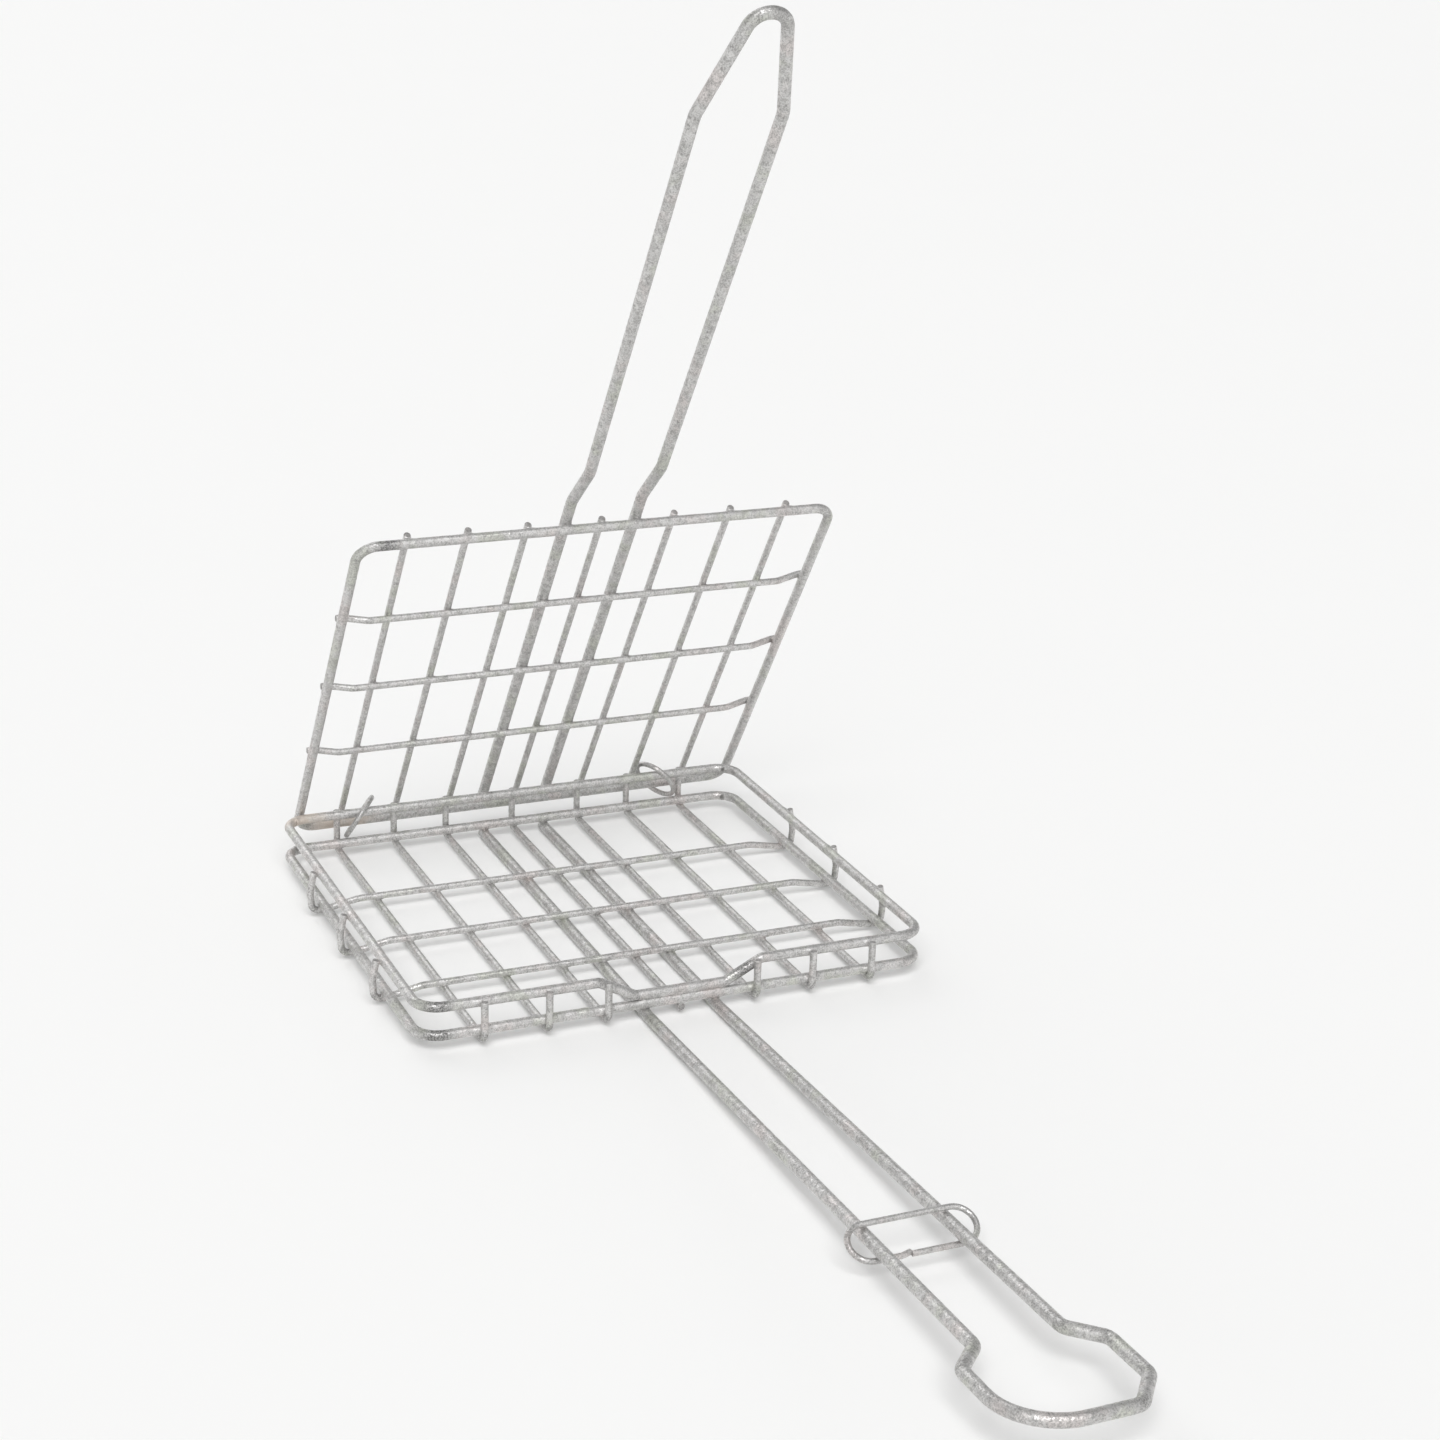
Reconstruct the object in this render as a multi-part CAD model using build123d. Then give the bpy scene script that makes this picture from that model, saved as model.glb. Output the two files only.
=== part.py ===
from build123d import *
import math
import os

# Sandwich grill grid: a wire basket and a wire lid, hinged by two loose rings at the back,
# each with a long wire handle at the front, and an oblong ring that slides along the
# basket handle to lock the two handles together.
# Millimetres. +Z is up, -Y points along the handles, X runs across.
# The origin is under the middle of the basket, on the surface that the grid stands on.

# Wire sizes
THIN = 3.2
THICK = 4.5
HANDLE = 5.2
HINGE_WIRE = 2.5
LOCK_WIRE = 2.4

# Basket, measured between the middles of its wires
BASKET_WIDTH = 236.0
BASKET_DEPTH = 218.2
REAR_RIM_RISE = 15.1
FRONT_RIM_RISE = 13.2
BASKET_CORNER = 11.0
LONG_WIRES = (-90.8, -61.8, -34.9, 0.0, 34.9, 61.8, 90.8)
CROSS_FIRST = 51.0
CROSS_PITCH = 50.3
CROSS_COUNT = 3
WIRE_TURN = 3.6
TIP_PAST_RIM = 0.8

# Dip in the front of the rim, where the lid handle passes
DIP_FLAT = 42.0
DIP_TOP = 76.0
DIP_TURN = 5.0

# Basket handle
BASKET_HANDLE_REAR = 31.6
BASKET_HANDLE_NECK = 34.0
HANDLE_REACH = 299.5
HANDLE_RISE_ANGLE = 2.4
HANDLE_BEND_OUT = 6.0
HANDLE_TURN = 60.0

# Grip loop at the end of the basket handle, beyond the neck
GRIP_WIDTH = 57.0
GRIP_LENGTH = 53.0
GRIP_SHOULDER = 12.0
GRIP_CUT_ALONG = 15.0
GRIP_CUT_ACROSS = 12.0
GRIP_TURN = 6.0
GRIP_ROUND = 24.0

# Lid, measured between the middles of its wires
LID_SIDE_ROOM = 4.1
LID_SHIFT = 5.0
LID_DEPTH = 210.3
LID_CORNER = 9.0
LID_LONG_WIRES = (-91.1, -63.1, -35.2, 0.0, 35.2, 63.1, 91.1)
LID_CROSS_FIRST = 52.3
LID_CROSS_PITCH = 49.5
LID_ANGLE = 56.4

# Lid handle
LID_HANDLE_WIDTH = 33.6
LID_HANDLE_SPREAD = 37.0
LID_HANDLE_STRAIGHT = 14.2
LID_HANDLE_CRANK = 27.3
LID_HANDLE_DROP = 3.3
LID_HANDLE_LENGTH = 241.8
LID_HANDLE_TURN = 14.0
LID_TIP_LENGTH = 48.2
LID_TIP_WIDTH = 13.4
LID_TIP_DROP = 2.2

# Hinge rings, measured between the middles of their wire
RING_SIZE = 22.3
RING_PLACE = 78.8
RING_TWIST = 42.0
RING_LOOSENESS = 0.3
RING_CUT = 0.5

# Lock ring, measured between the middles of its wire
LOCK_LENGTH = 52.0
LOCK_HEIGHT = 15.6
LOCK_PLACE = 221.0
LOCK_CUT = 0.4
LOCK_CUT_PLACE = -3.6

# Fits, welds and cut ends
WELD_SINK = 0.15
DIP_SINK = 0.03
HINGE_GAP = 0.3
LOCK_GAP = 0.3
END_PAST_WIRE = 1.5
CROSS_WIRE_EASE = 12.0
SLOPE_FROM_SIDE = 1.5
SLOPE_FROM_LONG_WIRE = 10.0

# Radius of a narrow loop's round end, as a share of half the loop's width
LOOP_END_SHARE = 0.99


def beside(diameter):
    """How far the middle of a wire welded onto a thick wire is from the thick wire's middle."""
    return (THICK + diameter) / 2 - WELD_SINK


# Worked out heights and places
FRAME_Z = beside(HANDLE) + HANDLE / 2
REAR_RIM_Z = FRAME_Z + REAR_RIM_RISE
FRONT = -BASKET_DEPTH / 2
REAR = BASKET_DEPTH / 2
SIDE = BASKET_WIDTH / 2
LID_SIDE = SIDE - LID_SIDE_ROOM
CROSS_RISE = THIN - WELD_SINK


def rim_height(y):
    """Height of the rim's middle: it falls a little towards the front."""
    return REAR_RIM_Z - (REAR_RIM_RISE - FRONT_RIM_RISE) * (REAR - y) / BASKET_DEPTH


def face_gap():
    """Distance, across the lid's face, between the rim's rear wire and the plane of the lid frame."""
    return THICK + HINGE_GAP


def ring_span():
    """Distance between the middles of the two wires that a hinge ring holds."""
    return RING_SIZE - HINGE_WIRE - THICK - 2 * RING_LOOSENESS


def lid_axis():
    """The middle of the lid's rear wire: hanging in the rings, its side wires resting on the rim."""
    angle = math.radians(LID_ANGLE)
    face = face_gap()
    along = math.sqrt(ring_span() ** 2 - face ** 2)
    back = face * math.sin(angle) + along * math.cos(angle)
    up = face * math.cos(angle) - along * math.sin(angle)
    return Vector(LID_SHIFT, REAR + back, REAR_RIM_Z + up)


def lid_plane():
    """The lid's own plane: -Y runs from its rear wire to its front, +Z points to its outer side."""
    angle = math.radians(LID_ANGLE)
    return Plane(origin=lid_axis(), x_dir=(1, 0, 0), z_dir=(0, math.sin(angle), math.cos(angle)))


def rounded_corner(before, corner, after, radius):
    """Start, middle and end of the arc that rounds a corner of a path."""
    back = (before - corner).normalized()
    ahead = (after - corner).normalized()
    half = math.radians(back.get_angle(ahead)) / 2
    run = radius / math.tan(half)
    center = corner + (back + ahead).normalized() * (radius / math.sin(half))
    middle = center + (corner - center).normalized() * radius
    return corner + back * run, middle, corner + ahead * run


def wire_edges(points, turns, closed=False):
    """Straight runs through the points, with an arc of the given radius at each turn, in order."""
    points = [Vector(*point) for point in points]
    if closed:
        points = points + [points[0]]
    edges = []
    last = points[0]
    for index in range(1, len(points) - 1):
        radius = turns[index - 1] if isinstance(turns, (list, tuple)) else turns
        start, middle, end = rounded_corner(points[index - 1], points[index], points[index + 1], radius)
        edges.append(Edge.make_line(last, start))
        edges.append(Edge.make_three_point_arc(start, middle, end))
        last = end
    edges.append(Edge.make_line(last, points[-1]))
    return edges


def wire_path(points, turns, closed=False):
    """The runs and arcs joined into one path."""
    return Wire(wire_edges(points, turns, closed))


def round_wire(path, diameter):
    """Round wire of the given diameter along the path."""
    section = Plane(origin=path @ 0, z_dir=path % 0) * Circle(diameter / 2)
    return sweep(section, path=path)


def rectangle_points(half_width, front, rear, z):
    """Closed path of a wire frame, from the middle of its rear wire."""
    return [(0, rear, z), (half_width, rear, z), (half_width, front, z), (-half_width, front, z),
            (-half_width, rear, z)]


def basket_bottom_frame():
    points = rectangle_points(SIDE, FRONT, REAR, FRAME_Z)
    return round_wire(wire_path(points, BASKET_CORNER, closed=True), THICK)


def basket_top_rim():
    """One bent wire in stretches that meet end to end. It dips at the front onto the bottom frame."""
    low = FRAME_Z + THICK - DIP_SINK
    front = rim_height(FRONT)
    rear = [(0, REAR, REAR_RIM_Z), (SIDE, REAR, REAR_RIM_Z), (SIDE, FRONT, front)]
    dip = [(DIP_TOP / 2, FRONT, front), (DIP_FLAT / 2, FRONT, low), (-DIP_FLAT / 2, FRONT, low),
           (-DIP_TOP / 2, FRONT, front)]
    left = [(-SIDE, FRONT, front), (-SIDE, REAR, REAR_RIM_Z)]
    turns = [BASKET_CORNER] * 2 + [DIP_TURN] * 4 + [BASKET_CORNER] * 2
    edges = wire_edges(rear + dip + left, turns, closed=True)
    stretches = {"corner_rear_right": edges[1:2], "right": edges[2:3], "corner_front_right": edges[3:4],
                 "front_right": edges[4:5], "dip": edges[5:-5], "front_left": edges[-5:-4],
                 "corner_front_left": edges[-4:-3], "left": edges[-3:-2], "corner_rear_left": edges[-2:-1],
                 "rear": [Edge.make_line(edges[-1] @ 0, edges[0] @ 1)]}
    return {f"basket_rim_{place}": round_wire(Wire(run), THICK) for place, run in stretches.items()}


def basket_long_wire(x):
    """Runs under the bottom frame and turns up outside it to the rim; under the dip it stops short."""
    low = FRAME_Z - beside(THIN)
    rear = REAR + beside(THIN)
    front = FRONT - beside(THIN)
    rear_end = [(x, rear, low), (x, rear, REAR_RIM_Z + TIP_PAST_RIM)]
    if abs(x) < DIP_FLAT / 2:
        return round_wire(wire_path([(x, FRONT - END_PAST_WIRE, low)] + rear_end, WIRE_TURN), THIN)
    points = [(x, front, rim_height(FRONT) + TIP_PAST_RIM), (x, front, low)] + rear_end
    return round_wire(wire_path(points, WIRE_TURN), THIN)


def cross_wire_points(y, side_height, rise, reach, outermost, side):
    """Half of a cross wire: level under the side of the frame, then a slope up onto the long wires."""
    level = side - SLOPE_FROM_SIDE
    slope = outermost + SLOPE_FROM_LONG_WIRE
    return [(reach, y, side_height), (level, y, side_height), (slope, y, side_height + rise)]


def mirrored(points):
    """The points on the other side, in the order that carries the path on."""
    return [(-x, y, z) for x, y, z in reversed(points)]


def basket_cross_wire(y):
    """Lies on the long wires, dips under the sides of the frame and turns up outside them."""
    low = FRAME_Z - beside(THIN)
    out = SIDE + beside(THIN)
    half = cross_wire_points(y, low, CROSS_RISE, out, max(LONG_WIRES), SIDE)
    half = [(out, y, rim_height(y) + TIP_PAST_RIM)] + half
    turns = [WIRE_TURN] + [CROSS_WIRE_EASE] * 4 + [WIRE_TURN]
    return round_wire(wire_path(half + mirrored(half), turns), THIN)


def basket_handle_point(across, out):
    """A point of the sloping part of the handle, out from the bend along the slope."""
    rise = math.radians(HANDLE_RISE_ANGLE)
    y = FRONT - HANDLE_BEND_OUT - out * math.cos(rise)
    z = FRAME_Z - beside(HANDLE) + out * math.sin(rise)
    return (across, y, z)


def basket_handle():
    """One wire: two runs under the grid that carry on as the handle, and the grip loop between them."""
    low = FRAME_Z - beside(HANDLE)
    rear = (BASKET_HANDLE_REAR / 2, REAR + END_PAST_WIRE, low)
    neck_out = HANDLE_REACH - HANDLE_BEND_OUT
    run = BASKET_DEPTH + END_PAST_WIRE + HANDLE_BEND_OUT
    widening = (BASKET_HANDLE_NECK - BASKET_HANDLE_REAR) / (run + neck_out)
    bend = basket_handle_point((BASKET_HANDLE_REAR + widening * run) / 2, 0)
    right = [(BASKET_HANDLE_NECK / 2, 0), (GRIP_WIDTH / 2, GRIP_SHOULDER),
             (GRIP_WIDTH / 2, GRIP_LENGTH - GRIP_CUT_ALONG), (GRIP_WIDTH / 2 - GRIP_CUT_ACROSS, GRIP_LENGTH)]
    left = [(-GRIP_WIDTH / 2, GRIP_LENGTH), (-GRIP_WIDTH / 2, GRIP_SHOULDER), (-BASKET_HANDLE_NECK / 2, 0)]
    grip = [basket_handle_point(across, neck_out + out) for across, out in right + left]
    points = [rear, bend] + grip + mirrored([rear, bend])
    turns = [HANDLE_TURN] + [GRIP_TURN] * len(right) + [GRIP_ROUND, GRIP_TURN, GRIP_TURN, HANDLE_TURN]
    edges = wire_edges(points, turns)
    stretches = {"floor_right": edges[:1], "run_right": edges[1:3], "grip": edges[3:-3],
                 "run_left": edges[-3:-1], "floor_left": edges[-1:]}
    return {f"basket_handle_{place}": round_wire(Wire(run), HANDLE) for place, run in stretches.items()}


def lid_frame():
    points = rectangle_points(LID_SIDE, -LID_DEPTH, 0, 0)
    return round_wire(wire_path(points, LID_CORNER, closed=True), THICK)


def lid_long_wire(x):
    """Straight wire on the outer side of the lid frame."""
    height = beside(THIN)
    path = Wire([Edge.make_line((x, END_PAST_WIRE, height), (x, -LID_DEPTH - END_PAST_WIRE, height))])
    return round_wire(path, THIN)


def lid_cross_wire(y):
    """Lies on the food side of the long wires, its ends outside the sides of the lid frame."""
    reach = LID_SIDE + END_PAST_WIRE
    half = cross_wire_points(y, beside(THIN), -CROSS_RISE, reach, max(LID_LONG_WIRES), LID_SIDE)
    return round_wire(wire_path(half + mirrored(half), CROSS_WIRE_EASE), THIN)


def lid_handle():
    """One wire on the outer side of the lid, cranked past the basket's front, with a tapered tip."""
    straight = -LID_DEPTH - LID_HANDLE_STRAIGHT
    crank = straight - LID_HANDLE_CRANK
    taper = -LID_DEPTH - LID_HANDLE_LENGTH
    tip = taper - LID_TIP_LENGTH
    half = LID_HANDLE_WIDTH / 2
    spread = LID_HANDLE_SPREAD / 2
    right = [(half, END_PAST_WIRE, beside(HANDLE)), (half, straight, beside(HANDLE)),
             (half, crank, -LID_HANDLE_DROP), (spread, taper, -LID_TIP_DROP),
             (LID_TIP_WIDTH / 2, tip, -LID_TIP_DROP)]
    taper_angle = math.atan2(spread - LID_TIP_WIDTH / 2, LID_TIP_LENGTH)
    tip_turn = LOOP_END_SHARE * LID_TIP_WIDTH / 2 / math.tan((math.pi / 2 - taper_angle) / 2)
    turns = [LID_HANDLE_TURN] * 3 + [tip_turn] * 2 + [LID_HANDLE_TURN] * 3
    return round_wire(wire_path(right + mirrored(right), turns), HANDLE)


def hinge_ring(side):
    """A loose, twisted ring round the rim's rear wire and the lid's rear wire, cut on its lower side."""
    rim = Vector(0, REAR, REAR_RIM_Z)
    along = (lid_axis() - rim).project_to_plane(Plane.YZ).normalized()
    lower = Vector(0, along.Z, -along.Y)
    twist = math.radians(RING_TWIST)
    across = lower * math.cos(twist) + Vector(side, 0, 0) * math.sin(twist)
    center = rim + along * (ring_span() / 2) + Vector(side * RING_PLACE, 0, 0)
    plane = Plane(origin=center, x_dir=along, z_dir=along.cross(across))
    half_cut = math.degrees(RING_CUT / RING_SIZE)
    arc = Edge.make_circle(RING_SIZE / 2, plane, start_angle=90 + half_cut, end_angle=450 - half_cut)
    return round_wire(Wire([arc]), HINGE_WIRE)


def lock_plane():
    """The lock ring leans on the handle: its inner side over the two wires, its outer side under them."""
    rise = math.radians(HANDLE_RISE_ANGLE)
    lean = math.asin((HANDLE + LOCK_WIRE + 2 * LOCK_GAP) / LOCK_HEIGHT)
    inward = Vector(0, math.cos(rise), -math.sin(rise))
    upward = Vector(0, math.sin(rise), math.cos(rise))
    across = inward * math.cos(lean) + upward * math.sin(lean)
    center = Vector(*basket_handle_point(0, LOCK_PLACE - HANDLE_BEND_OUT))
    return Plane(origin=center, x_dir=(1, 0, 0), z_dir=Vector(1, 0, 0).cross(across))


def lock_ring():
    """Oblong ring with round ends, cut in its lower side."""
    end = LOCK_LENGTH / 2
    half = LOCK_HEIGHT / 2
    points = [(LOCK_CUT_PLACE + LOCK_CUT / 2, -half, 0), (end, -half, 0), (end, half, 0), (-end, half, 0),
              (-end, -half, 0), (LOCK_CUT_PLACE - LOCK_CUT / 2, -half, 0)]
    return lock_plane() * round_wire(wire_path(points, LOOP_END_SHARE * half), LOCK_WIRE)


def all_nodes():
    """Every piece of wire by name."""
    nodes = {"basket_bottom_frame": basket_bottom_frame()}
    nodes.update(basket_top_rim())
    for number, x in enumerate(LONG_WIRES, 1):
        nodes[f"basket_long_wire_{number}"] = basket_long_wire(x)
    for number in range(1, CROSS_COUNT + 1):
        y = FRONT + CROSS_FIRST + CROSS_PITCH * (number - 1)
        nodes[f"basket_cross_wire_{number}"] = basket_cross_wire(y)
    nodes.update(basket_handle())
    place = lid_plane()
    nodes["lid_frame"] = place * lid_frame()
    for number, x in enumerate(LID_LONG_WIRES, 1):
        nodes[f"lid_long_wire_{number}"] = place * lid_long_wire(x)
    for number in range(1, CROSS_COUNT + 1):
        y = -LID_DEPTH + LID_CROSS_FIRST + LID_CROSS_PITCH * (number - 1)
        nodes[f"lid_cross_wire_{number}"] = place * lid_cross_wire(y)
    nodes["lid_handle"] = place * lid_handle()
    nodes["hinge_ring_left"] = hinge_ring(-1)
    nodes["hinge_ring_right"] = hinge_ring(1)
    nodes["lock_ring"] = lock_ring()
    return nodes


os.makedirs("parts", exist_ok=True)
for name, solid in all_nodes().items():
    export_step(solid, f"parts/{name}.step")
print("rim axis", Vector(0, REAR, REAR_RIM_Z), "lid axis", lid_axis(), "lock ring", lock_plane().origin)
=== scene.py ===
import math
import bpy
import numpy as np
from bpy.props import FloatProperty, FloatVectorProperty, IntProperty, PointerProperty
from mathutils import Matrix, Vector


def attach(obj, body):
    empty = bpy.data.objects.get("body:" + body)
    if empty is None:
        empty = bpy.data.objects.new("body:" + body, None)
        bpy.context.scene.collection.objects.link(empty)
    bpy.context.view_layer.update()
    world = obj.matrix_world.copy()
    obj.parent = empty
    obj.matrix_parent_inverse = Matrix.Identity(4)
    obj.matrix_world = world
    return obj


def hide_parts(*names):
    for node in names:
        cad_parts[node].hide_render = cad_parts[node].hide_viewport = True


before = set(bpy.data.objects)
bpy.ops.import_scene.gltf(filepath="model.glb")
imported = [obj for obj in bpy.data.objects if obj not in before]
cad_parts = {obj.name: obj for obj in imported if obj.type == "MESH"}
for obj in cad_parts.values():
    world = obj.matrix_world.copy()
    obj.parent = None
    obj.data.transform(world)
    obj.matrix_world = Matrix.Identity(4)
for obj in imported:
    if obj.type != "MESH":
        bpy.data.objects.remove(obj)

bl_info = {
    "name": "Sandwich grill grid",
    "version": (1, 0, 0),
    "blender": (4, 5, 0),
    "location": "3D View > Sidebar > Grill grid",
    "description": "Wire basket and lid on loose rings, with bent wire handles and a lock ring",
    "category": "Add Mesh",
}


# Sizes and finishes that a user may change

def length(name, description, default):
    return FloatProperty(name=name, description=description, default=default, subtype="DISTANCE",
                         unit="LENGTH", precision=5)


def angle(name, description, degrees):
    return FloatProperty(name=name, description=description, default=math.radians(degrees),
                         subtype="ANGLE", unit="ROTATION")


def share(name, description, default):
    return FloatProperty(name=name, description=description, default=default, min=0, max=1,
                         subtype="FACTOR")


def colour(name, description, default):
    return FloatVectorProperty(name=name, description=description, default=default, size=3,
                               min=0, max=1, subtype="COLOR")


class WireSizes(bpy.types.PropertyGroup):
    thin: length("Thin wire", "Diameter of the grid wires", 0.0032)
    thick: length("Thick wire", "Diameter of the frame and rim wires", 0.0045)
    handle: length("Handle wire", "Diameter of the two handles' wire", 0.0052)
    ring: length("Ring wire", "Diameter of the hinge rings' wire", 0.0025)
    lock: length("Lock wire", "Diameter of the lock ring's wire", 0.0024)
    sink: length("Weld sink", "How far two welded wires sink into each other", 0.00015)
    dip_sink: length("Dip sink", "How far the rim's dip sinks into the bottom frame", 0.00003)
    past: length("End past wire", "How far a cut end stands past the wire it is welded to", 0.0015)
    weld_rise: length("Weld rise", "Height of the melted metal between two wires", 0.00075)
    weld_reach: length("Weld reach", "How far the melted metal runs along a wire", 0.0013)
    sides: IntProperty(name="Sides", description="Faces round a wire", default=18, min=6)


class BasketSizes(bpy.types.PropertyGroup):
    width: length("Width", "Between the middles of the side wires", 0.236)
    depth: length("Depth", "Between the middles of the front and rear wires", 0.2182)
    rear_rise: length("Rear rise", "From the bottom frame to the rim at the rear", 0.0151)
    front_rise: length("Front rise", "From the bottom frame to the rim at the front", 0.0132)
    corner: length("Corner", "Radius of the frame corners", 0.011)
    cross_first: length("First cross wire", "From the front wire", 0.051)
    cross_pitch: length("Cross wire pitch", "From one cross wire to the next", 0.0503)
    wire_turn: length("Wire turn", "Radius where a grid wire turns up", 0.0036)
    tip: length("Tip", "How far a grid wire's end stands over the rim's middle", 0.0008)
    bulge: length("Bulge", "How far the cross wires' turned-up ends bow outward", 0.0019)
    bow: length("Bow", "Radius of the bowed ends", 0.010)
    dip_flat: length("Dip width below", "Level part of the dip in the rim", 0.042)
    dip_top: length("Dip width above", "Opening of the dip in the rim", 0.076)
    dip_turn: length("Dip turn", "Radius of the bends of the dip", 0.005)
    ease: length("Cross wire ease", "Radius of a cross wire's gentle bends", 0.012)


class HandleSizes(bpy.types.PropertyGroup):
    rear_width: length("Rear width", "Between the two runs at the rear", 0.0316)
    neck: length("Neck", "Between the two runs in front of the grip", 0.034)
    reach: length("Reach", "From the front wire to the neck", 0.2995)
    rise: angle("Rise", "Slope of the handle", 2.4)
    bend_out: length("Bend", "From the front wire to the bend", 0.006)
    turn: length("Bend radius", "Radius of the bend", 0.06)
    grip_width: length("Grip width", "Across the grip loop", 0.057)
    grip_length: length("Grip length", "Along the grip loop", 0.053)
    shoulder: length("Shoulder", "From the neck to the grip's full width", 0.012)
    cut_along: length("Cut corner along", "Slanted corner of the grip, along it", 0.015)
    cut_across: length("Cut corner across", "Slanted corner of the grip, across it", 0.012)
    grip_turn: length("Grip turn", "Radius of the grip's sharp bends", 0.006)
    grip_round: length("Grip round", "Radius of the grip's round corner", 0.024)


class LidSizes(bpy.types.PropertyGroup):
    side_room: length("Side room", "How much the lid is narrower on each side", 0.0041)
    shift: length("Shift", "How far the lid hangs to the right in its rings", 0.005)
    depth: length("Depth", "Between the middles of the front and rear wires", 0.2103)
    corner: length("Corner", "Radius of the frame corners", 0.009)
    cross_first: length("First cross wire", "From the front wire", 0.0523)
    cross_pitch: length("Cross wire pitch", "From one cross wire to the next", 0.0495)
    lean: angle("Lean", "Angle of the lid over the table", 56.4)
    handle_width: length("Handle width", "Between the two runs over the lid", 0.0336)
    spread: length("Spread", "Between the two runs at the taper", 0.037)
    straight: length("Straight", "From the front wire to the crank", 0.0142)
    crank: length("Crank", "Length of the crank", 0.0273)
    drop: length("Drop", "How deep the crank goes", 0.0033)
    handle_length: length("Handle length", "From the front wire to the taper", 0.2418)
    handle_turn: length("Handle turn", "Radius of the handle's bends", 0.014)
    tip_length: length("Tip length", "Length of the taper", 0.0482)
    tip_width: length("Tip width", "Width of the round end", 0.0134)
    tip_drop: length("Tip drop", "How deep the tip lies", 0.0022)


class RingSizes(bpy.types.PropertyGroup):
    size: length("Hinge ring", "Diameter of the hinge rings, in the middle of the wire", 0.0223)
    place: length("Place", "From the middle to each hinge ring", 0.0788)
    twist: angle("Twist", "How far the rings stand turned", 42)
    looseness: length("Looseness", "Play between a ring and each wire", 0.0003)
    gap: length("Hinge gap", "Play between the rim and the lid frame", 0.0003)
    cut: length("Ring cut", "Gap between the ends of a hinge ring", 0.0005)
    lock_length: length("Lock ring length", "In the middle of the wire", 0.052)
    lock_height: length("Lock ring height", "In the middle of the wire", 0.0156)
    lock_place: length("Lock ring place", "From the front wire", 0.221)
    lock_gap: length("Lock gap", "Play between the lock ring and the handle", 0.0003)
    lock_cut: length("Lock ring cut", "Gap between the ends of the lock ring", 0.0004)
    lock_cut_place: length("Cut place", "From the lock ring's middle", -0.0036)
    lock_step: length("Cut step", "How far one end of the lock ring stands off the other", 0.0009)
    lock_jog: length("Cut jog", "Length over which that end steps aside", 0.0035)


class Finish(bpy.types.PropertyGroup):
    zinc: colour("Zinc", "Bright plating", (0.72, 0.713, 0.704))
    dull: colour("Dull zinc", "Darker patches of the plating", (0.30, 0.295, 0.288))
    rosy: colour("Rosy zinc", "Plating with a faint warm cast", (0.74, 0.70, 0.685))
    mossy: colour("Yellowed zinc", "Plating with a faint yellow cast", (0.67, 0.68, 0.625))
    heat: colour("Weld tint", "Where a weld has burnt the plating", (0.42, 0.37, 0.315))
    tan: colour("Tan patch", "Burnt patch on the rear left corner", (0.66, 0.575, 0.50))
    # The dark colour is painted light: painted dark reflections at the front left corners and painted shade
    # on the right slope of the rim's dip.
    dark: colour("Dark patch", "Where the plating is worn to bare steel", (0.12, 0.118, 0.116))
    steel: colour("Cut steel", "Bare steel of the cut ends", (0.25, 0.24, 0.235))
    shine: share("Roughness", "Roughness of the bright plating", 0.34)
    mottle: length("Mottle size", "Size of the plating's patches", 0.0018)
    speck: length("Speck size", "Size of the plating's grain", 0.0007)


class StageSettings(bpy.types.PropertyGroup):
    camera: FloatVectorProperty(name="Camera", description="Place of the camera", size=3,
                                default=(-0.4265, -1.1013, 0.5229), subtype="TRANSLATION", unit="LENGTH")
    turn: angle("Turn", "Camera's turn from straight along the handle", 23.974)
    tilt: angle("Tilt", "How far the camera looks down", 19.704)
    roll: angle("Roll", "Camera's roll", 1.811)
    lens: FloatProperty(name="Lens", description="Focal length on a 36 mm frame", default=68.38,
                        subtype="DISTANCE_CAMERA", unit="CAMERA")
    floor: colour("Floor", "Colour of the floor", (0.95, 0.95, 0.945))
    sky: FloatProperty(name="Sky", description="Strength of the light from above", default=0.37)
    wall: FloatProperty(name="Wall", description="Brightness of the pale surroundings", default=0.93)
    main: FloatProperty(name="Main light", description="Strength of the soft light in front", default=1.9)
    rear: FloatProperty(name="Rear light", description="Strength of the soft light behind", default=0.6)


GROUPS = {"wire": WireSizes, "basket": BasketSizes, "handle": HandleSizes, "lid": LidSizes,
          "rings": RingSizes, "finish": Finish, "stage": StageSettings}
BASKET_WIRES = (-0.0908, -0.0618, -0.0349, 0.0, 0.0349, 0.0618, 0.0908)
LID_WIRES = (-0.0911, -0.0631, -0.0352, 0.0, 0.0352, 0.0631, 0.0911)
CROSS_COUNT = 3
LEVEL_INSIDE_SIDE = 0.0015  # how far inside the side wire a cross wire starts to rise
SLOPE_FROM_LONG_WIRE = 0.010  # how far outside the last long wire its rise ends
BOW_AT_FOOT = 0.6  # share of an upright's bow that is there at its foot
LOOP_END_SHARE = 0.99  # a round end's radius, as a share of half its width

# How finely a wire is made

ARC_COUNT = 25  # points in a bend
PLAIN_STEP = 0.0022  # longest step along a plain stretch
WELD_COUNT, WELD_SPAN = 17, 2.4  # steps near a weld, and half their span in weld reaches
LEAST_STEP = 0.12  # shortest step, in weld reaches
SEARCH_COUNT, SEARCH_STEPS = 60, 3  # points in the search for a weld's place, and its half span
TOUCH_STEP = 0.0012  # step along the wires in the search for welds
TOUCH_ROOM = 0.0004  # how far apart two wires may be and still count as welded
SEAM_COUNT, SEAM_EVERY, SEAM_END = 12, 3, 2  # a touching stretch this long gets a row of welds

# A cut end: rings of points by width and place, both as shares of the wire's radius

CUT_RINGS = ((0.97, 0.05), (0.86, 0.14), (0.45, 0.19))
CUT_LEAN, CUT_TURN, CUT_MIDDLE = 0.5, 0.7, 0.2

# How the plating's fields spread

# The dark field marks painted shade and painted dark reflections.
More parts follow.
